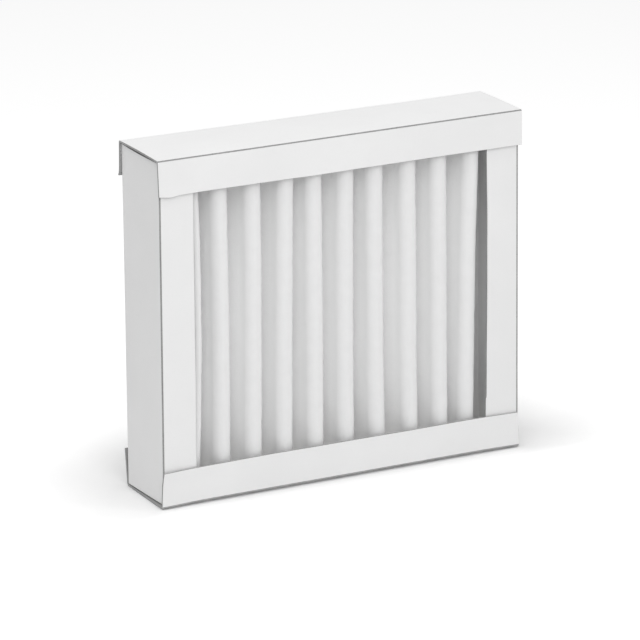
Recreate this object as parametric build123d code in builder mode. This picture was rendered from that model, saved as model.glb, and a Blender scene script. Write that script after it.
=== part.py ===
"""Pleated panel air filter: a fleece pleat pack glued into a frame of four folded card channels.

Millimetres, +X along the panel's width, +Y from the front face to the rear, +Z up.
The origin is the centre of the footprint, on the floor that the filter stands on.
"""

from build123d import *
import math
import os

# Card frame, over its outer faces
FRAME_WIDTH = 227.4
FRAME_HEIGHT = 200.0
FRAME_DEPTH = 48.0
BOARD = 1.2
CROSS_FLANGE = 20.5
SIDE_FLANGE = 20.5
REAR_LEAN = 6.0  # degrees by which the cross channels' rear flanges spring open

# How far the cut ends of the cross channels run past the side channels' webs
TOP_OVERRUN_LEFT = 1.1
TOP_OVERRUN_RIGHT = 1.3
BOTTOM_OVERRUN_LEFT = 1.3
BOTTOM_OVERRUN_RIGHT = 0.6

# Pleat pack
FLEECE = 2.5
PITCH = 19.4
FOLD_RADIUS = 4.2  # to the middle of the fleece
LEFT_TAIL = 10.2
RIGHT_TAIL_LEAST = 7.0
RIGHT_TAIL_SHORT = 3.5  # by which the right tail stops short of the pack's end

# Hot melt
GLUE_FILM = 0.3
GLUE_BED = 1.5
LAP_PAD = 14.0
LAP_PAD_INSET = 3.0
TAIL_STRIP = 7.0
TAIL_STRIP_INSET = 1.5

# Clearances
WEB_GAP = 0.4
FIT = 0.3

# The score is cut half through from outside, so each flange hinges on the board's mid-plane
lean = math.radians(REAR_LEAN)
lean_reach = (CROSS_FLANGE - BOARD / 2) * math.sin(lean) - BOARD / 2 * (1 - math.cos(lean))

# Outer faces
front = -(FRAME_DEPTH + lean_reach) / 2
rear = front + FRAME_DEPTH
middle = (front + rear) / 2
left = -FRAME_WIDTH / 2
right = FRAME_WIDTH / 2

# The side channels stand between the cross channels' webs, with their flanges tucked inside
tuck = BOARD + GLUE_FILM
side_depth = FRAME_DEPTH - 2 * tuck
side_foot = BOARD + WEB_GAP
side_height = FRAME_HEIGHT - 2 * side_foot

# The pack lies between the side channels' flanges and stands between the two glue beds
pack_front = front + tuck + BOARD + FIT
pack_rear = rear - tuck - BOARD - GLUE_FILM
pack_foot = BOARD + GLUE_BED
pack_height = FRAME_HEIGHT - 2 * pack_foot
pack_left = left + BOARD + FIT
pack_right = right - BOARD - FIT
tail_end = pack_right - RIGHT_TAIL_SHORT

# Centres of the fold arcs, and the small angle by which the panels between them spread
fold_front = pack_front + FLEECE / 2 + FOLD_RADIUS
fold_rear = pack_rear - FLEECE / 2 - FOLD_RADIUS
tail_line = fold_rear + FOLD_RADIUS
fold_run = fold_rear - fold_front
half_pitch = PITCH / 2
pleats = int((tail_end - pack_left - LEFT_TAIL - RIGHT_TAIL_LEAST) / PITCH)
first_crest = pack_left + LEFT_TAIL + half_pitch
spread = math.degrees(
    math.acos(2 * FOLD_RADIUS / math.hypot(half_pitch, fold_run)) - math.atan2(fold_run, half_pitch)
)


def channel_section(depth, flange, rear_lean=0.0):
    """Folded board: the web along local X on its mid-plane, the flanges down local -Y.

    Each flange meets the web only through the inner half of the board, and the cut outer
    half leaves an open notch along the outside of the fold.
    """
    hinge = (depth - BOARD) / 2
    flange_run = flange - BOARD / 2
    Rectangle(2 * hinge, BOARD)
    with Locations(Location((-hinge, 0)), Location((hinge, 0), rear_lean)):
        Rectangle(BOARD, flange_run, align=(Align.CENTER, Align.MAX))


# Every channel is extruded along its own web; local X runs front to rear
with BuildPart() as top_channel:
    top_hinge = (left - TOP_OVERRUN_LEFT, middle, FRAME_HEIGHT - BOARD / 2)
    with BuildSketch(Plane(top_hinge, x_dir=(0, 1, 0), z_dir=(1, 0, 0))):
        channel_section(FRAME_DEPTH, CROSS_FLANGE, REAR_LEAN)
    extrude(amount=TOP_OVERRUN_LEFT + FRAME_WIDTH + TOP_OVERRUN_RIGHT)

with BuildPart() as bottom_channel:
    bottom_hinge = (right + BOTTOM_OVERRUN_RIGHT, middle, BOARD / 2)
    with BuildSketch(Plane(bottom_hinge, x_dir=(0, 1, 0), z_dir=(-1, 0, 0))):
        channel_section(FRAME_DEPTH, CROSS_FLANGE, REAR_LEAN)
    extrude(amount=BOTTOM_OVERRUN_RIGHT + FRAME_WIDTH + BOTTOM_OVERRUN_LEFT)

with BuildPart() as left_channel:
    left_hinge = (left + BOARD / 2, middle, side_foot)
    with BuildSketch(Plane(left_hinge, x_dir=(0, 1, 0), z_dir=(0, 0, 1))):
        channel_section(side_depth, SIDE_FLANGE)
    extrude(amount=side_height)

with BuildPart() as right_channel:
    right_hinge = (right - BOARD / 2, middle, side_foot + side_height)
    with BuildSketch(Plane(right_hinge, x_dir=(0, 1, 0), z_dir=(0, 0, -1))):
        channel_section(side_depth, SIDE_FLANGE)
    extrude(amount=side_height)

# One strip of fleece: a tail on the left flange, the crests and valleys, a tail on the right flange
with BuildPart() as pleated_media:
    with BuildSketch(Plane.XY.offset(pack_foot)):
        with BuildLine():
            bend = CenterArc((first_crest - half_pitch, fold_rear), FOLD_RADIUS, 90, spread - 90)
            Line((pack_left, tail_line), bend @ 0)
            for pleat in range(pleats):
                crest_x = first_crest + pleat * PITCH
                crest = CenterArc((crest_x, fold_front), FOLD_RADIUS, 180 + spread, 180 - 2 * spread)
                Line(bend @ 1, crest @ 0)
                valley_turn = 180 - 2 * spread if pleat < pleats - 1 else 90 - spread
                bend = CenterArc((crest_x + half_pitch, fold_rear), FOLD_RADIUS, 180 - spread, -valley_turn)
                Line(crest @ 1, bend @ 0)
            Line(bend @ 1, (tail_end, tail_line))
        trace(line_width=FLEECE)
    extrude(amount=pack_height)


def glue_bed(seat):
    """Bed of hot melt on a cross channel's web, in which the ends of the pleats stand."""
    with BuildPart() as bed:
        with BuildSketch(Plane.XY.offset(seat)):
            with Locations(((pack_left + pack_right) / 2, (pack_front + pack_rear) / 2)):
                Rectangle(pack_right - pack_left, pack_rear - pack_front)
        extrude(amount=GLUE_BED)
    return bed.part


def tail_glue(strip_middle):
    """Film of hot melt between one tail of the fleece and the side channel's rear flange."""
    with BuildPart() as strip:
        with BuildSketch(Plane.XY.offset(pack_foot)):
            with Locations((strip_middle, pack_rear + GLUE_FILM / 2)):
                Rectangle(TAIL_STRIP, GLUE_FILM)
        extrude(amount=pack_height)
    return strip.part


bottom_glue_bed = glue_bed(BOARD)
top_glue_bed = glue_bed(FRAME_HEIGHT - BOARD - GLUE_BED)
left_tail_glue = tail_glue(pack_left + TAIL_STRIP_INSET + TAIL_STRIP / 2)
right_tail_glue = tail_glue(tail_end - TAIL_STRIP_INSET - TAIL_STRIP / 2)

# Pads that hold the lapped flanges together: a flat film in front, a wedge behind the leaning flanges
pad_starts = (left + LAP_PAD_INSET, right - LAP_PAD_INSET - LAP_PAD)
half_height = Plane.XY.offset(FRAME_HEIGHT / 2)

with BuildPart() as front_lap_glue:
    with BuildSketch(Plane.XY.offset(LAP_PAD_INSET)):
        for pad_start in pad_starts:
            with Locations((pad_start, front + BOARD)):
                Rectangle(LAP_PAD, GLUE_FILM, align=(Align.MIN, Align.MIN))
    extrude(amount=LAP_PAD)
    mirror(about=half_height)


def leaning_face(height):
    """Y of the bottom channel's rear flange, on its inner face at this height."""
    hinge_rise = height - BOARD / 2
    return rear - BOARD / 2 + hinge_rise * math.tan(lean) - BOARD / 2 / math.cos(lean)


with BuildPart() as rear_lap_glue:
    pad_top = LAP_PAD_INSET + LAP_PAD
    for pad_start in pad_starts:
        with BuildSketch(Plane.YZ.offset(pad_start)):
            with BuildLine():
                Polyline(
                    (rear - tuck, LAP_PAD_INSET),
                    (leaning_face(LAP_PAD_INSET), LAP_PAD_INSET),
                    (leaning_face(pad_top), pad_top),
                    (rear - tuck, pad_top),
                    close=True,
                )
            make_face()
        extrude(amount=LAP_PAD)
    mirror(about=half_height)

pieces = {
    "top_channel": top_channel.part,
    "bottom_channel": bottom_channel.part,
    "left_channel": left_channel.part,
    "right_channel": right_channel.part,
    "pleated_media": pleated_media.part,
    "top_glue_bed": top_glue_bed,
    "bottom_glue_bed": bottom_glue_bed,
    "left_tail_glue": left_tail_glue,
    "right_tail_glue": right_tail_glue,
    "front_lap_glue": front_lap_glue.part,
    "rear_lap_glue": rear_lap_glue.part,
}

os.makedirs("parts", exist_ok=True)
for name, piece in pieces.items():
    piece.label = name
    export_step(piece, f"parts/{name}.step")
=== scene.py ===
"""Looks of the pleated panel air filter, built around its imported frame.

Metres, +X along the panel's width, +Y from the front face to the rear, +Z up.
Four slit-folded card channels, one sheet of pleated fleece and the hot melt between them.
"""

import math

import bpy
from mathutils import Matrix, Vector, noise


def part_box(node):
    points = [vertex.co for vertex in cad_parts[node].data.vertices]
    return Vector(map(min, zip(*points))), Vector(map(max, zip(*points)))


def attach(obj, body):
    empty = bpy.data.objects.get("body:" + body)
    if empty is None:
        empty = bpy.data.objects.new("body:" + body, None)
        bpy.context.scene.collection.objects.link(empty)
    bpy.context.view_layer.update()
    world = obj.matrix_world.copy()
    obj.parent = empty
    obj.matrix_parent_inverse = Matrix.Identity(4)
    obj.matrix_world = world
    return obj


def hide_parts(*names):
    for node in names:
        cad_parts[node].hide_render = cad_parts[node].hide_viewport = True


MM = 0.001

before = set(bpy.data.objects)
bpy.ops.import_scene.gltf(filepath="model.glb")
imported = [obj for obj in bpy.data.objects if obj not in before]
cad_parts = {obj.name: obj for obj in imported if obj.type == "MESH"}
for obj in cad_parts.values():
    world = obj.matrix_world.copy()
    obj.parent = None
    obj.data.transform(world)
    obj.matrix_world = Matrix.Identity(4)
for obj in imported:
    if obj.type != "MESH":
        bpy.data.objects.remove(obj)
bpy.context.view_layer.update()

# ---------------------------------------------------------------- sizes read from the frame

top_low, top_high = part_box("top_channel")
bottom_low, bottom_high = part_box("bottom_channel")
left_low, left_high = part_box("left_channel")
right_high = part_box("right_channel")[1]
pack_low, pack_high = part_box("pleated_media")
bed_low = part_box("bottom_glue_bed")[0]

BOARD = bed_low.z
FRONT = bottom_low.y
TUCK = left_low.y - FRONT
FRAME_DEPTH = left_high.y + TUCK - FRONT
REAR = FRONT + FRAME_DEPTH
FRAME_HEIGHT = top_high.z
FLANGE = bottom_high.z
SIDE_FLANGE = left_high.x - left_low.x
LEFT = left_low.x
RIGHT = right_high.x
REAR_REACH = bottom_high.y - REAR
SIDE_FOOT = left_low.z

# ---------------------------------------------------------------- sizes of the dressed pieces

# Board
EDGE = 0.09 * MM  # bevel on every cut edge
STEP_ALONG = 1.3 * MM  # between two stations of a channel
FLANGE_POINTS = 14
WEB_POINTS = 24
TOP_RISE = 1.06 * MM  # the top channel rides up on its glue
# how far the liner draws back from both sides of a slit
TOP_GAPE = 0.1 * MM
BOTTOM_GAPE = 0.8 * MM
LEFT_GAPE = 0.15 * MM
RIGHT_GAPE = 0.8 * MM

# Fleece: the same folds as the frame's solid
FLEECE = 2.5 * MM
PITCH = 19.4 * MM
FOLD_RADIUS = 4.2 * MM
LEFT_TAIL = 10.2 * MM
CRESTS = 10
ROWS = 84
ARC_POINTS = 15
WALL_POINTS = 8
TAIL_POINTS = 6
# how far each crest stands from its even place, in millimetres, low, halfway and high up
CREST_WANDER = (
    (1.8, -1.0, -0.6, -0.5, -0.3, 0.1, 0.6, 2.6, 2.8, 0.7),
    (3.7, -1.1, 0.1, 0.0, -0.2, -0.2, -0.4, 1.7, 2.1, 1.3),
    (2.8, -1.3, 0.2, 1.0, -0.3, 0.3, -0.6, 1.4, 1.5, 2.8),
)
# the first crest is folded tighter and lies farther back, half behind the left flange
FIRST_RADIUS = 1.9 * MM
FIRST_SET_BACK = 1.9 * MM
WALL_BOW = 0.55 * MM
SMALL_LUMPS, BROAD_LUMPS = 0.10 * MM, 0.12 * MM
LUMP_ROOM = 0.1 * MM  # taken off the half thickness, so that the lumps stay within the sheet

# White ground
GROUND_REACH = 6.0
GLOW = 0.3
# the floor's painted shadow lies within this reach of the filter
OPEN_WITHIN = 0.11  # reach of the look-round for what stands near
GLOW_BEFORE = (29 * MM, 49 * MM)  # in front of the filter the glow sets in here

# Camera
VIEW_AZIMUTH = math.radians(28.148)
VIEW_ELEVATION = math.radians(16.981)
VIEW_ROLL = math.radians(-0.313)
VIEW_AIM = Vector((-1.75, 0.0, 87.26)) * MM
VIEW_DISTANCE = 2861.7 * MM
LENS = 284.8


# ---------------------------------------------------------------- shader tools


class Value:
    """One socket of a node tree, with arithmetic that adds Math nodes."""

    def __init__(self, tree, socket):
        self.tree = tree
        self.socket = socket

    def math(self, operation, *others, clamp=False):
        node = self.tree.nodes.new("ShaderNodeMath")
        node.operation = operation
        node.use_clamp = clamp
        for place, value in enumerate((self, *others)):
            if isinstance(value, Value):
                self.tree.links.new(value.socket, node.inputs[place])
            else:
                node.inputs[place].default_value = value
        return Value(self.tree, node.outputs[0])

    def flipped(self, operation, other):
        """The same with the plain number first."""
        node = self.tree.nodes.new("ShaderNodeMath")
        node.operation = operation
        node.inputs[0].default_value = other
        self.tree.links.new(self.socket, node.inputs[1])
        return Value(self.tree, node.outputs[0])

    def __add__(self, other):
        return self.math("ADD", other)

    def __radd__(self, other):
        return self.math("ADD", other)

    def __sub__(self, other):
        return self.math("SUBTRACT", other)

    def __rsub__(self, other):
        return self.flipped("SUBTRACT", other)

    def __mul__(self, other):
        return self.math("MULTIPLY", other)

    def __rmul__(self, other):
        return self.math("MULTIPLY", other)

    def above(self, low, high):
        """0 below low, 1 above high, a ramp between."""
        return (self - low).math("MULTIPLY", 1 / (high - low), clamp=True)


class Finish:
    """A material under construction: its tree, its surface shader and one way to add nodes."""

    def __init__(self, name, **surface):
        self.material = bpy.data.materials.new(name)
        self.material.use_nodes = True
        self.tree = self.material.node_tree
        self.tree.nodes.clear()
        self.output = self.tree.nodes.new("ShaderNodeOutputMaterial")
        self.surface = self.tree.nodes.new("ShaderNodeBsdfPrincipled")
        self.tree.links.new(self.surface.outputs[0], self.output.inputs["Surface"])
        for socket, value in surface.items():
            self.surface.inputs[socket.replace("_", " ")].default_value = value
        self.place = self.node("ShaderNodeTexCoord", output="Object")

    def depth(self):
        """The point's y, from the front to the rear."""
        return self.node("ShaderNodeSeparateXYZ", None, {"Vector": self.place}, output=1)

    def node(self, kind, settings=None, inputs=None, output=0):
        """Adds a node: its settings first, then the values or links of its sockets."""
        node = self.tree.nodes.new(kind)
        for name, value in (settings or {}).items():
            setattr(node, name, value)
        for name, value in (inputs or {}).items():
            if isinstance(value, Value):
                self.tree.links.new(value.socket, node.inputs[name])
            else:
                node.inputs[name].default_value = value
        return Value(self.tree, node.outputs[output])

    def mottle(self, size, detail=3.0, roughness=0.5, stretch=(1, 1, 1)):
        """Cloudy noise, 0 to 1, whose blots are about size metres, drawn out along an axis by stretch."""
        scaled = self.node(
            "ShaderNodeVectorMath",
            {"operation": "MULTIPLY"},
            {0: self.place, 1: tuple(1 / (size * s) for s in stretch)},
        )
        return self.node(
            "ShaderNodeTexNoise",
            {"noise_dimensions": "3D"},
            {"Vector": scaled, "Scale": 1.0, "Detail": detail, "Roughness": roughness},
        )

    def blend(self, factor, first, second):
        """Colour between two colours or colour sockets."""
        node = self.tree.nodes.new("ShaderNodeMix")
        node.data_type = "RGBA"
        self.tree.links.new(factor.socket, node.inputs[0])
        for socket, value in ((node.inputs[6], first), (node.inputs[7], second)):
            if isinstance(value, Value):
                self.tree.links.new(value.socket, socket)
            else:
                socket.default_value = (*value, 1)
        return Value(self.tree, node.outputs[2])

    def set(self, socket, value):
        self.tree.links.new(value.socket, self.surface.inputs[socket])

    def relief(self, height, distance, strength=1.0):
        inputs = {"Height": height, "Distance": distance, "Strength": strength}
        self.set("Normal", self.node("ShaderNodeBump", None, inputs))


def grey(level):
    return (level, level, level)


# ---------------------------------------------------------------- finishes


def white_liner():
    """Clay-coated white face of the board: smooth, with a faint cloud and rubbed spots."""
    finish = Finish("white_liner", Roughness=0.5, Specular_IOR_Level=0.2)
    cloud = finish.mottle(38 * MM, detail=2)
    pores = finish.mottle(1.1 * MM, detail=4)
    rubbed = finish.mottle(11 * MM, detail=6, roughness=0.7).above(0.62, 0.74)
    shade = finish.blend(cloud.above(0.35, 0.7), grey(0.855), grey(0.878))
    shade = finish.blend(pores.above(0.55, 0.85) * 0.5, shade, grey(0.825))
    shade = finish.blend(rubbed * 0.3, shade, grey(0.81))
    finish.set("Base Color", shade)
    finish.set("Roughness", 0.46 + 0.1 * pores + 0.1 * rubbed)
    finish.relief(pores + 0.6 * cloud, 0.05 * MM, 0.35)
    return finish.material


def grey_core(light, dark):
    """Cut edge of the recycled board: grey fibre with darker and lighter flecks."""
    finish = Finish("grey_core", Roughness=0.92, Specular_IOR_Level=0.15)
    fibre = finish.mottle(0.5 * MM, detail=5, roughness=0.65, stretch=(3, 1, 1))
    cloud = finish.mottle(9 * MM, detail=3)
    flecks = finish.mottle(1.0 * MM, detail=2, roughness=0.4).above(0.66, 0.74)
    shade = finish.blend(fibre.above(0.3, 0.7), grey(dark), grey(light))
    shade = finish.blend(cloud.above(0.4, 0.75) * 0.4, shade, grey(light * 1.12))
    shade = finish.blend(flecks * 0.6, shade, grey(dark * 0.55))
    finish.set("Base Color", shade)
    finish.relief(fibre, 0.12 * MM, 0.7)
    return finish.material


def board_back(name, grain, light, dark):
    """Unlined back of the board, with fine streaks along its grain."""
    finish = Finish(name, Roughness=0.9, Specular_IOR_Level=0.15)
    streaks = finish.mottle(0.7 * MM, detail=3, roughness=0.55, stretch=grain)
    cloud = finish.mottle(14 * MM, detail=3)
    shade = finish.blend(streaks.above(0.32, 0.68), grey(dark), grey(light))
    shade = finish.blend(cloud.above(0.45, 0.75) * 0.3, shade, grey(dark))
    finish.set("Base Color", shade)
    finish.relief(streaks, 0.06 * MM, 0.4)
    return finish.material


def white_fleece():
    """Carded synthetic fleece: matt white, crossing fibres, with painted light in the pleats' hollows, which
    are coloured lighter than the folds' outsides.
    """
    finish = Finish(
        "white_fleece", Roughness=0.97, Specular_IOR_Level=0.1, Sheen_Weight=0.2, Sheen_Roughness=0.6
    )
    cloud = finish.mottle(7 * MM, detail=3)
    lay = finish.mottle(0.6 * MM, detail=4, roughness=0.6, stretch=(1, 1, 7))
    cross = finish.mottle(0.5 * MM, detail=4, roughness=0.6, stretch=(5, 5, 1))
    fibre = 0.5 * lay + 0.5 * cross
    from_middle = (finish.depth() - (pack_low.y + pack_high.y) / 2).math("ABSOLUTE")
    # painted light and shade: the hollows at mid-depth are coloured almost white and the folds' outsides
    # darker, standing in for light that the fleece lets through and bounces deep into the pleats
    painted_pleat_shading = from_middle.above(10 * MM, 17 * MM)
    shade = finish.blend(painted_pleat_shading, grey(0.99), grey(0.84))
    shade = finish.blend(cloud.above(0.3, 0.7) * 0.25, shade, grey(0.93))
    shade = finish.blend(fibre.above(0.42, 0.62) * 0.25, shade, grey(0.88))
    finish.set("Base Color", shade)
    finish.relief(fibre + 0.5 * cloud, 0.35 * MM, 0.5)
    return finish.material


def hot_melt():
    """Set hot melt: milky and half clear, with slack ripples."""
    finish = Finish("milky_hot_melt", Roughness=0.35, Subsurface_Weight=0.2, Subsurface_Scale=0.002)
    ripple = finish.mottle(5 * MM, detail=2)
    haze = finish.mottle(1.5 * MM, detail=3)
    finish.set("Base Color", finish.blend(haze, (0.80, 0.79, 0.76), (0.86, 0.85, 0.83)))
    finish.set("Roughness", 0.3 + 0.25 * haze)
    finish.relief(ripple, 0.5 * MM, 0.6)
    return finish.material


LINER = white_liner()
CORE = grey_core(0.45, 0.30)
INSIDE_ACROSS = board_back("board_back_across", (40, 1, 1), 0.42, 0.34)
# painted light: the upright channels' board back is coloured near white, far lighter than the across
# channels' grey back, standing in for light that reaches the deep gap beside the last pleat
INSIDE_UPRIGHT_PAINTED_LIGHT = board_back("board_back_upright_painted_light", (1, 1, 40), 0.97, 0.92)
FLEECE_WHITE = white_fleece()
GLUE = hot_melt()


# ---------------------------------------------------------------- mesh tools


def new_piece(name, vertices, faces, materials, slots=None, crease=35):
    mesh = bpy.data.meshes.new(name)
    mesh.from_pydata([tuple(v) for v in vertices], [], faces)
    for material in materials:
        mesh.materials.append(material)
    if slots:
        mesh.polygons.foreach_set("material_index", slots)
    mesh.polygons.foreach_set("use_smooth", [True] * len(mesh.polygons))
    mesh.validate()
    mesh.set_sharp_from_angle(angle=math.radians(crease))
    piece = bpy.data.objects.new(name, mesh)
    bpy.context.scene.collection.objects.link(piece)
    return piece


def wave(position, length, seed):
    """Smooth noise between about -1 and 1 along one line."""
    return 2 * noise.noise(Vector((position / length, seed * 7.31, 0.37)))


def hump(position, centre, width):
    """A smooth bump of height 1 at centre."""
    return math.exp(-(((position - centre) / width) ** 2))


def run(start, end, steps):
    """Evenly spaced values from start to end, both included."""
    return [start + (end - start) * step / steps for step in range(steps + 1)]


# ---------------------------------------------------------------- card channels


def channel_outline(web, flange_run, gape):
    """Closed outline of a slit-folded channel as (panel, distance from its fold, height, finish).

    Height is measured from the board's mid-plane, positive to the outside.  The web is
    measured from its front fold.  gape is how far the liner draws back from both sides of a
    slit.  The finish is 0 for the white liner, 1 for the grey core of a cut and 2 for the
    board's back.
    """
    half = BOARD / 2
    far = flange_run - EDGE
    outline = []
    for panel in ("front", "rear"):
        outer = [(panel, reach, half, 0) for reach in run(far, gape, FLANGE_POINTS)]
        slit = [(panel, 0.0, half - EDGE, 1), (panel, 0.0, EDGE, 1)]
        inner = [(panel, reach, -half, 2) for reach in run(half + EDGE, far, FLANGE_POINTS)]
        tip = [(panel, flange_run, -half + EDGE, 1), (panel, flange_run, half - EDGE, 1)]
        if panel == "front":
            outline += outer + slit + [("web", 0.0, 0.0, 1), ("web", 0.0, half - EDGE, 1)]
            outline += [("web", across, half, 0) for across in run(gape, web - gape, WEB_POINTS)]
            outline += [("web", web, half - EDGE, 1), ("web", web, 0.0, 1)]
            front_inner, front_tip = inner, tip
        else:
            for stretch in (slit, outer, tip, inner):
                outline += reversed(stretch)
            back = run(web - half - EDGE, half + EDGE, WEB_POINTS)
            outline += [("web", across, -half, 2) for across in back]
    outline += front_inner + front_tip
    return outline


def folded_channel(node, start, directions, length, panels, gape, shape):
    """A channel of half-slit board with its folds, cut faces and small distortions.

    start is the end of the front fold line on the web's mid-plane, directions are those of
    the channel and of its flanges, and panels are the web's depth, the flanges' run and the
    finish inside.  shape(panel, u, share) gives, at the share of the panel's run away from
    its fold, the panel's lift to the outside, how much longer its whole run is there and how
    far its points slip along the channel.  A flange is carried by the web's edge.
    """
    along, down = directions
    depth, flange, inside = panels
    across = Vector((0, 1, 0))
    web = depth - BOARD
    flange_run = flange - BOARD / 2
    outline = channel_outline(web, flange_run, gape)
    stations = run(0.0, length, round(length / STEP_ALONG))
    vertices = []
    for u in stations:
        front_lift = shape("web", u, 0.0)[0]
        rear_lift, deeper, _ = shape("web", u, 1.0)
        hinges = {
            "web": (0.0, 0.0, 0),
            "front": (front_lift, 0.0, -1),
            "rear": (rear_lift, web + deeper, 1),
        }
        for panel, reach, height, _ in outline:
            share = reach / (web if panel == "web" else flange_run)
            lift, longer, slip = shape(panel, u, share)
            hinge_lift, hinge_depth, side = hinges[panel]
            spot = start + along * (u + slip) + across * hinge_depth - down * hinge_lift
            if panel == "web":
                spot += across * (reach + longer * share) - down * (height + lift)
            else:
                spot += down * (reach + longer * share) + across * (side * (height + lift))
            vertices.append(spot)
    count = len(outline)
    faces, slots = [], []
    for row in range(len(stations) - 1):
        for point in range(count):
            following = (point + 1) % count
            here, next_row = row * count, (row + 1) * count
            faces.append((here + point, here + following, next_row + following, next_row + point))
            slots.append(finish_between(outline[point], outline[following]))
    faces.append(tuple(reversed(range(count))))
    faces.append(tuple(range((len(stations) - 1) * count, len(stations) * count)))
    slots += [1, 1]
    if along.cross(across).dot(down) < 0:
        faces = [tuple(reversed(face)) for face in faces]
    piece = new_piece(node + "_card", vertices, faces, [LINER, CORE, inside], slots)
    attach(piece, "root")
    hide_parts(node)


def finish_between(first, second):
    """Finish of the face between two outline points: a cut face wherever either is cut."""
    if first[3] == second[3]:
        return first[3]
    return 1


CROSS_RUN = FLANGE - BOARD / 2
REAR_LEAN = math.asin(REAR_REACH / CROSS_RUN)
TOP_LENGTH = top_high.x - top_low.x
BOTTOM_LENGTH = bottom_high.x - bottom_low.x
SIDE_LENGTH = left_high.z - left_low.z


def leaning(share):
    """Outward lift and lost run of a rear flange that has sprung open."""
    return share * CROSS_RUN * math.sin(REAR_LEAN), -CROSS_RUN * (1 - math.cos(REAR_LEAN))


def top_shape(panel, u, share):
    """Top channel, measured from its left end, where it has risen, sprung and been knocked."""
    if panel == "web":
        risen = 0.6 * hump(u, 0, 90 * MM) + 0.1 * hump(u, 0, 25 * MM) - 0.2 * hump(u, 200 * MM, 35 * MM)
        crowned_ends = hump(u, 0, 12 * MM) + hump(u, TOP_LENGTH, 14 * MM)
        lift = (risen + 0.3) * share - 0.15 + 0.3 * crowned_ends * math.sin(math.pi * share)
        return lift * MM, 0.2 * MM * hump(u, 0, 60 * MM), 0.0
    if panel == "rear":
        lift, longer = leaning(share)
        lift *= 1 - 0.75 * hump(u, 0, 40 * MM)
        lift += 0.25 * MM * wave(u, 70 * MM, 1) * share * (1 - hump(u, 0, 20 * MM))
        lift += 1.1 * MM * hump(u, 0, 5 * MM) * share**12  # the corner flicks out
        return lift, longer, 0.0
    knock = 6.5 * MM
    lift = 0.12 * MM * (1 + wave(u, 45 * MM, 2)) * share
    lift += 0.5 * MM * hump(u, knock, 4 * MM) * share**3
    longer = 0.25 * hump(u, 105 * MM, 25 * MM) + 0.25 * hump(u, 14 * MM, 8 * MM)
    longer += 0.1 * wave(u, 30 * MM, 3) + 0.7 * hump(u, knock, 4.5 * MM) * share**6
    return lift, longer * MM, 0.6 * MM * share * (1 - u / TOP_LENGTH)


def bottom_shape(panel, u, share):
    """Bottom channel, measured from its left end: bowed web, slanting ends, a crushed left corner."""
    to_left, to_right = 1 - u / BOTTOM_LENGTH, u / BOTTOM_LENGTH
    rear_slip = 1.7 * to_left
    if panel == "web":
        edges = (2 * share - 1) ** 2
        ends = 0.6 * hump(u, 0, 16 * MM) + 0.4 * hump(u, BOTTOM_LENGTH, 16 * MM)
        raised = 1.05 * edges * (1 - ends) + 0.25 * (1 - edges) * hump(u, 0, 12 * MM)
        return -raised * MM, 0.0, (rear_slip * share + 0.1 * (1 - share) * to_right) * MM
    if panel == "rear":
        lift, longer = leaning(share)
        lift += 0.3 * MM * wave(u, 60 * MM, 4) * share
        lift += 0.5 * MM * hump(u, 0, 12 * MM) * share
        return lift, longer + 0.9 * MM, rear_slip * MM
    lift = 0.12 * MM * (1 + wave(u, 50 * MM, 5)) * share
    lift += 0.6 * MM * hump(u, 0, 7 * MM) * share**2
    longer = 0.1 * wave(u, 35 * MM, 6) + 0.3
    longer += 0.25 * hump(u, 62 * MM, 25 * MM) - 0.15 * hump(u, 155 * MM, 40 * MM)
    slip = (0.35 * share + 0.8 * share**4) * to_left
    slip += (0.1 - 1.25 * share + 0.3 * math.sin(math.pi * share)) * to_right
    return lift, longer * MM, slip * MM


def left_shape(panel, u, share):
    """Left channel, measured from its foot: its rear fold swings out towards the top."""
    up = u / SIDE_LENGTH
    deep = {"front": 0.0, "web": share, "rear": 1.0}[panel]
    slip = (0.75 * (1 - up) + (0.35 + 1.2 * deep**3) * up) * MM
    if panel == "web":
        return -0.25 * MM * (1 - share), (1.25 * up - 0.3 + 0.5 * hump(up, 1, 0.12)) * MM, slip
    if panel == "rear":
        return -0.06 * MM * share, 0.0, slip
    return -0.06 * MM * share, 0.25 * MM + 0.15 * MM * wave(u, 28 * MM, 7), slip


def right_shape(panel, u, share):
    """Right channel, measured from its foot: its web stands out there and a nick marks the flange."""
    up = u / SIDE_LENGTH
    slip = (0.75 * (1 - up) + 0.35 * up) * MM
    outward = 1.1 * (1 - up)
    if panel == "web":
        return outward * MM, 0.0, slip
    nick_top, nick_run = 31 * MM, 1.2 * MM
    inner_edge = 0.84 * math.sin(math.pi * up) - 0.5 * up
    inner_edge -= 0.45 * min(max((nick_top - u) / nick_run, 0.0), 1.0)
    return -0.06 * MM * share, (outward - inner_edge + 0.1 * wave(u, 28 * MM, 8)) * MM, slip


def build_frame():
    along_x, along_z = Vector((1, 0, 0)), Vector((0, 0, 1))
    half = BOARD / 2
    cross_y = FRONT + half
    side_y = cross_y + TUCK
    top_start = Vector((top_low.x, cross_y, FRAME_HEIGHT + TOP_RISE - half))
    bottom_start = Vector((bottom_low.x, cross_y, half))
    left_start = Vector((LEFT + half, side_y, SIDE_FOOT))
    right_start = Vector((RIGHT - half, side_y, SIDE_FOOT))
    cross = (FRAME_DEPTH, FLANGE, INSIDE_ACROSS)
    side = (FRAME_DEPTH - 2 * TUCK, SIDE_FLANGE, INSIDE_UPRIGHT_PAINTED_LIGHT)
    for node, start, directions, length, panels, gape, shape in (
        ("top_channel", top_start, (along_x, -along_z), TOP_LENGTH, cross, TOP_GAPE, top_shape),
        ("bottom_channel", bottom_start, (along_x, along_z), BOTTOM_LENGTH, cross, BOTTOM_GAPE, bottom_shape),
        ("left_channel", left_start, (along_z, along_x), SIDE_LENGTH, side, LEFT_GAPE, left_shape),
        ("right_channel", right_start, (along_z, -along_x), SIDE_LENGTH, side, RIGHT_GAPE, right_shape),
    ):
        folded_channel(node, start, directions, length, panels, gape, shape)


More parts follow.
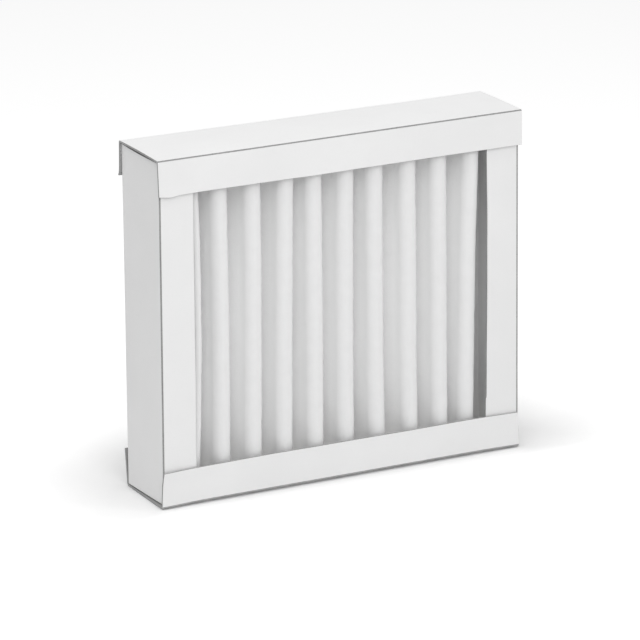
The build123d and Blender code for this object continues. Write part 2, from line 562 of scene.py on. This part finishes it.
# ---------------------------------------------------------------- pleated fleece


def crest_wander(crest, height_share):
    """How far a crest stands from its even place; height_share is 0 at the foot, 1 at the top."""
    place = min(max((height_share - 0.5) / 0.35, -1.25), 1.25)
    low, halfway, high = (row[crest] for row in CREST_WANDER)
    drift = halfway + (high - low) / 2 * place + ((high + low) / 2 - halfway) * place * place
    return (drift + 0.12 * wave(height_share, 0.22, 20 + crest)) * MM


def fold_centres(height_share):
    """Centres and radii of the folds from left to right, as (x, y, radius, bulge)."""
    front_y = pack_low.y + FLEECE / 2
    rear_y = pack_high.y - FLEECE / 2 - FOLD_RADIUS
    first = pack_low.x + LEFT_TAIL + PITCH / 2
    crest_x = [first + crest * PITCH + crest_wander(crest, height_share) for crest in range(CRESTS)]
    folds = [(first - PITCH / 2, rear_y, FOLD_RADIUS, 1)]
    for crest, x in enumerate(crest_x):
        radius = (FOLD_RADIUS if crest else FIRST_RADIUS) * (1 + 0.03 * wave(height_share, 0.5, 40 + crest))
        deeper = 0.2 * MM * (1 + wave(height_share, 0.4, 60 + crest)) + (0.0 if crest else FIRST_SET_BACK)
        folds.append((x, front_y + radius + deeper, radius, -1))
        if crest < CRESTS - 1:
            valley_x = (x + crest_x[crest + 1]) / 2 + 0.3 * MM * wave(height_share, 0.3, 80 + crest)
            folds.append((valley_x, rear_y, FOLD_RADIUS, 1))
    folds.append((first + (CRESTS - 0.5) * PITCH, rear_y, FOLD_RADIUS, 1))
    return folds


def wall_spread(fold, following):
    """Angle between a wall and the panel's depth, from the tangent to its two folds."""
    across, deep = abs(following[0] - fold[0]), abs(following[1] - fold[1])
    return math.acos((fold[2] + following[2]) / math.hypot(across, deep)) - math.atan2(deep, across)


def fleece_path(height_share):
    """Middle line of the fleece at one height: points and the normals that face the front side."""
    folds = fold_centres(height_share)
    tail_y = pack_high.y - FLEECE / 2
    spreads = [wall_spread(a, b) for a, b in zip(folds, folds[1:])]
    path = []
    for x in run(pack_low.x, folds[0][0], TAIL_POINTS)[:-1]:
        path.append((x, tail_y, 0.0, -1.0))
    for place, (x, y, radius, bulge) in enumerate(folds):
        if bulge > 0:
            begin = math.pi - spreads[place - 1] if place else math.pi / 2
            end = spreads[place] if place < len(spreads) else math.pi / 2
        else:
            begin = math.pi + spreads[place - 1]
            end = 2 * math.pi - spreads[place]
        for angle in run(begin, end, ARC_POINTS):
            cosine, sine = math.cos(angle), math.sin(angle)
            path.append((x + radius * cosine, y + radius * sine, -bulge * cosine, -bulge * sine))
        if place < len(spreads):
            path += wall_points(path[-1], folds[place + 1], spreads[place], place, height_share)
    for x in run(folds[-1][0], pack_high.x, TAIL_POINTS)[1:]:
        path.append((x, tail_y, 0.0, -1.0))
    return path


def wall_points(last, fold, spread, place, height_share):
    """Points along one wall, bowed a little, between the end of a fold and the next fold."""
    x, y, radius, bulge = fold
    angle = math.pi - spread if bulge > 0 else math.pi + spread
    end_x, end_y = x + radius * math.cos(angle), y + radius * math.sin(angle)
    normal_x, normal_y = last[2], last[3]
    bow = WALL_BOW * wave(height_share, 0.45, 100 + place)
    points = []
    for share in run(0.0, 1.0, WALL_POINTS)[1:-1]:
        push = bow * math.sin(math.pi * share) ** 2
        points.append(
            (
                last[0] + (end_x - last[0]) * share + normal_x * push,
                last[1] + (end_y - last[1]) * share + normal_y * push,
                normal_x,
                normal_y,
            )
        )
    return points


def pleated_fleece():
    """One closed sheet of fleece, lofted from rows of the folded path."""
    heights = run(pack_low.z, pack_high.z, ROWS)
    tall = pack_high.z - pack_low.z
    vertices = []
    for z in heights:
        path = fleece_path((z - pack_low.z) / tall)
        count = len(path)
        for side in (1, -1):
            for x, y, normal_x, normal_y in path:
                spot = Vector((x, y, z))
                lump = SMALL_LUMPS * noise.noise(spot / (3.5 * MM))
                lump += BROAD_LUMPS * noise.noise(spot / (9 * MM) + Vector((side, 0, 0)))
                out = side * (FLEECE / 2 - LUMP_ROOM) + lump
                vertices.append((x + normal_x * out, y + normal_y * out, z))
    faces = []
    width = 2 * count
    for row in range(ROWS):
        base, above = row * width, (row + 1) * width
        for point in range(count - 1):
            faces.append((base + point, base + point + 1, above + point + 1, above + point))
            back = count + point
            faces.append((base + back + 1, base + back, above + back, above + back + 1))
        faces.append((base + count, base, above, above + count))
        faces.append((base + count - 1, base + width - 1, above + width - 1, above + count - 1))
    last = ROWS * width
    for point in range(count - 1):
        faces.append((point + 1, point, count + point, count + point + 1))
        faces.append((last + point, last + point + 1, last + count + point + 1, last + count + point))
    piece = new_piece("fleece_pleats", vertices, faces, [FLEECE_WHITE], crease=60)
    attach(piece, "root")
    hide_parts("pleated_media")
    middle = fleece_path(0.5)


# ---------------------------------------------------------------- floor, light and camera


def seen_directly(tree):
    """1 for what the camera sees straight, mirrored or through something clear, else 0."""
    path = tree.nodes.new("ShaderNodeLightPath")
    straight, mirrored, through = (
        Value(tree, path.outputs[ray]) for ray in ("Is Camera Ray", "Is Glossy Ray", "Is Transmission Ray")
    )
    return straight.math("MAXIMUM", mirrored).math("MAXIMUM", through)


def pale_floor():
    """Seamless white ground: it keeps the soft shadow, deepened near the filter by painted shadow, and the
    camera sees the rest as white.
    """
    finish = Finish("white_ground", Roughness=0.9, Specular_IOR_Level=0.0)
    seen = seen_directly(finish.tree)
    finish.set("Base Color", finish.blend(seen, grey(0.85), grey(0.97)))
    around = finish.node("ShaderNodeAmbientOcclusion", {"samples": 8}, {"Distance": OPEN_WITHIN}, "AO")
    # painted shadow: the camera-only glow is withheld where the look-round finds the filter near and just in
    # front of it, so the floor there stays darker than the rest
    glow_outside_painted_shadow = around.above(0.84, 0.98).math("MAXIMUM", (-1 * finish.depth()).above(*GLOW_BEFORE))
    glow_shade = finish.blend(glow_outside_painted_shadow, grey(0.0), grey(1.0))
    glow = finish.node("ShaderNodeEmission", None, {"Strength": GLOW, "Color": glow_shade})
    lit = Value(finish.tree, finish.surface.outputs[0])
    both = finish.node("ShaderNodeAddShader", None, {0: glow, 1: lit})
    mixed = finish.node("ShaderNodeMixShader", None, {0: seen, 1: lit, 2: both})
    finish.tree.links.new(mixed.socket, finish.output.inputs["Surface"])
    corners = [(x * GROUND_REACH, y * GROUND_REACH, 0) for x, y in ((-1, -1), (1, -1), (1, 1), (-1, 1))]
    floor = new_piece("studio_floor", corners, [(0, 1, 2, 3)], [finish.material])


def studio_world(level):
    """Even light of the given level from all round; seen directly it is white."""
    world = bpy.data.worlds.new("studio_tent")
    bpy.context.scene.world = world
    world.use_nodes = True
    tree = world.node_tree
    tree.nodes.clear()
    output = tree.nodes.new("ShaderNodeOutputWorld")
    mix = tree.nodes.new("ShaderNodeMixShader")
    tree.links.new(seen_directly(tree).socket, mix.inputs[0])
    for socket, strength in ((mix.inputs[1], level), (mix.inputs[2], 1.0)):
        background = tree.nodes.new("ShaderNodeBackground")
        background.inputs["Color"].default_value = (1, 1, 1, 1)
        background.inputs["Strength"].default_value = strength
        tree.links.new(background.outputs[0], socket)
    tree.links.new(mix.outputs[0], output.inputs["Surface"])


def softbox(name, azimuth, elevation, distance, size, strength):
    """Square lamp aimed at the filter; azimuth runs from the front towards the left, in degrees."""
    turn, lift = math.radians(azimuth), math.radians(elevation)
    aim = Vector((0, 0, 0.1))
    back = Vector((-math.sin(turn) * math.cos(lift), -math.cos(turn) * math.cos(lift), math.sin(lift)))
    light = bpy.data.lights.new(name, "AREA")
    light.shape = "SQUARE"
    light.size = size
    light.energy = strength * math.pi**2 * distance**2
    lamp = bpy.data.objects.new(name, light)
    bpy.context.scene.collection.objects.link(lamp)
    lamp.location = aim + back * distance
    lamp.rotation_mode = "QUATERNION"
    lamp.rotation_quaternion = (-back).to_track_quat("-Z", "Y")


def studio_camera():
    forward = Vector(
        (
            math.sin(VIEW_AZIMUTH) * math.cos(VIEW_ELEVATION),
            math.cos(VIEW_AZIMUTH) * math.cos(VIEW_ELEVATION),
            -math.sin(VIEW_ELEVATION),
        )
    )
    level_right = forward.cross(Vector((0, 0, 1))).normalized()
    level_up = level_right.cross(forward)
    right = level_right * math.cos(VIEW_ROLL) + level_up * math.sin(VIEW_ROLL)
    up = level_up * math.cos(VIEW_ROLL) - level_right * math.sin(VIEW_ROLL)
    data = bpy.data.cameras.new("studio_camera")
    data.sensor_width = 36
    data.lens = LENS
    data.clip_start, data.clip_end = 0.1, 50
    camera = bpy.data.objects.new("studio_camera", data)
    bpy.context.scene.collection.objects.link(camera)
    turn = Matrix((right, up, -forward)).transposed().to_4x4()
    camera.matrix_world = Matrix.Translation(VIEW_AIM - forward * VIEW_DISTANCE) @ turn
    bpy.context.scene.camera = camera


# ---------------------------------------------------------------- the filter

build_frame()
pleated_fleece()
BEDS, SEAMS = ("top_glue_bed", "bottom_glue_bed"), ("left_tail_glue", "right_tail_glue")
for glue_node in (*BEDS, *SEAMS, "front_lap_glue", "rear_lap_glue"):
    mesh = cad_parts[glue_node].data
    mesh.materials.clear()
    mesh.materials.append(GLUE)

pale_floor()
studio_world(0.49)
softbox("overhead_softbox", 60, 78, 2.0, 1.6, 0.345)
softbox("front_softbox", 20, 35, 0.95, 0.5, 0.222)
softbox("left_softbox", 105, 15, 1.2, 0.8, 0.013)
softbox("right_softbox", -30, 35, 1.3, 0.9, 0.125)
studio_camera()

bpy.context.scene.view_settings.view_transform = "Standard"
bpy.context.scene.cycles.diffuse_bounces = 14
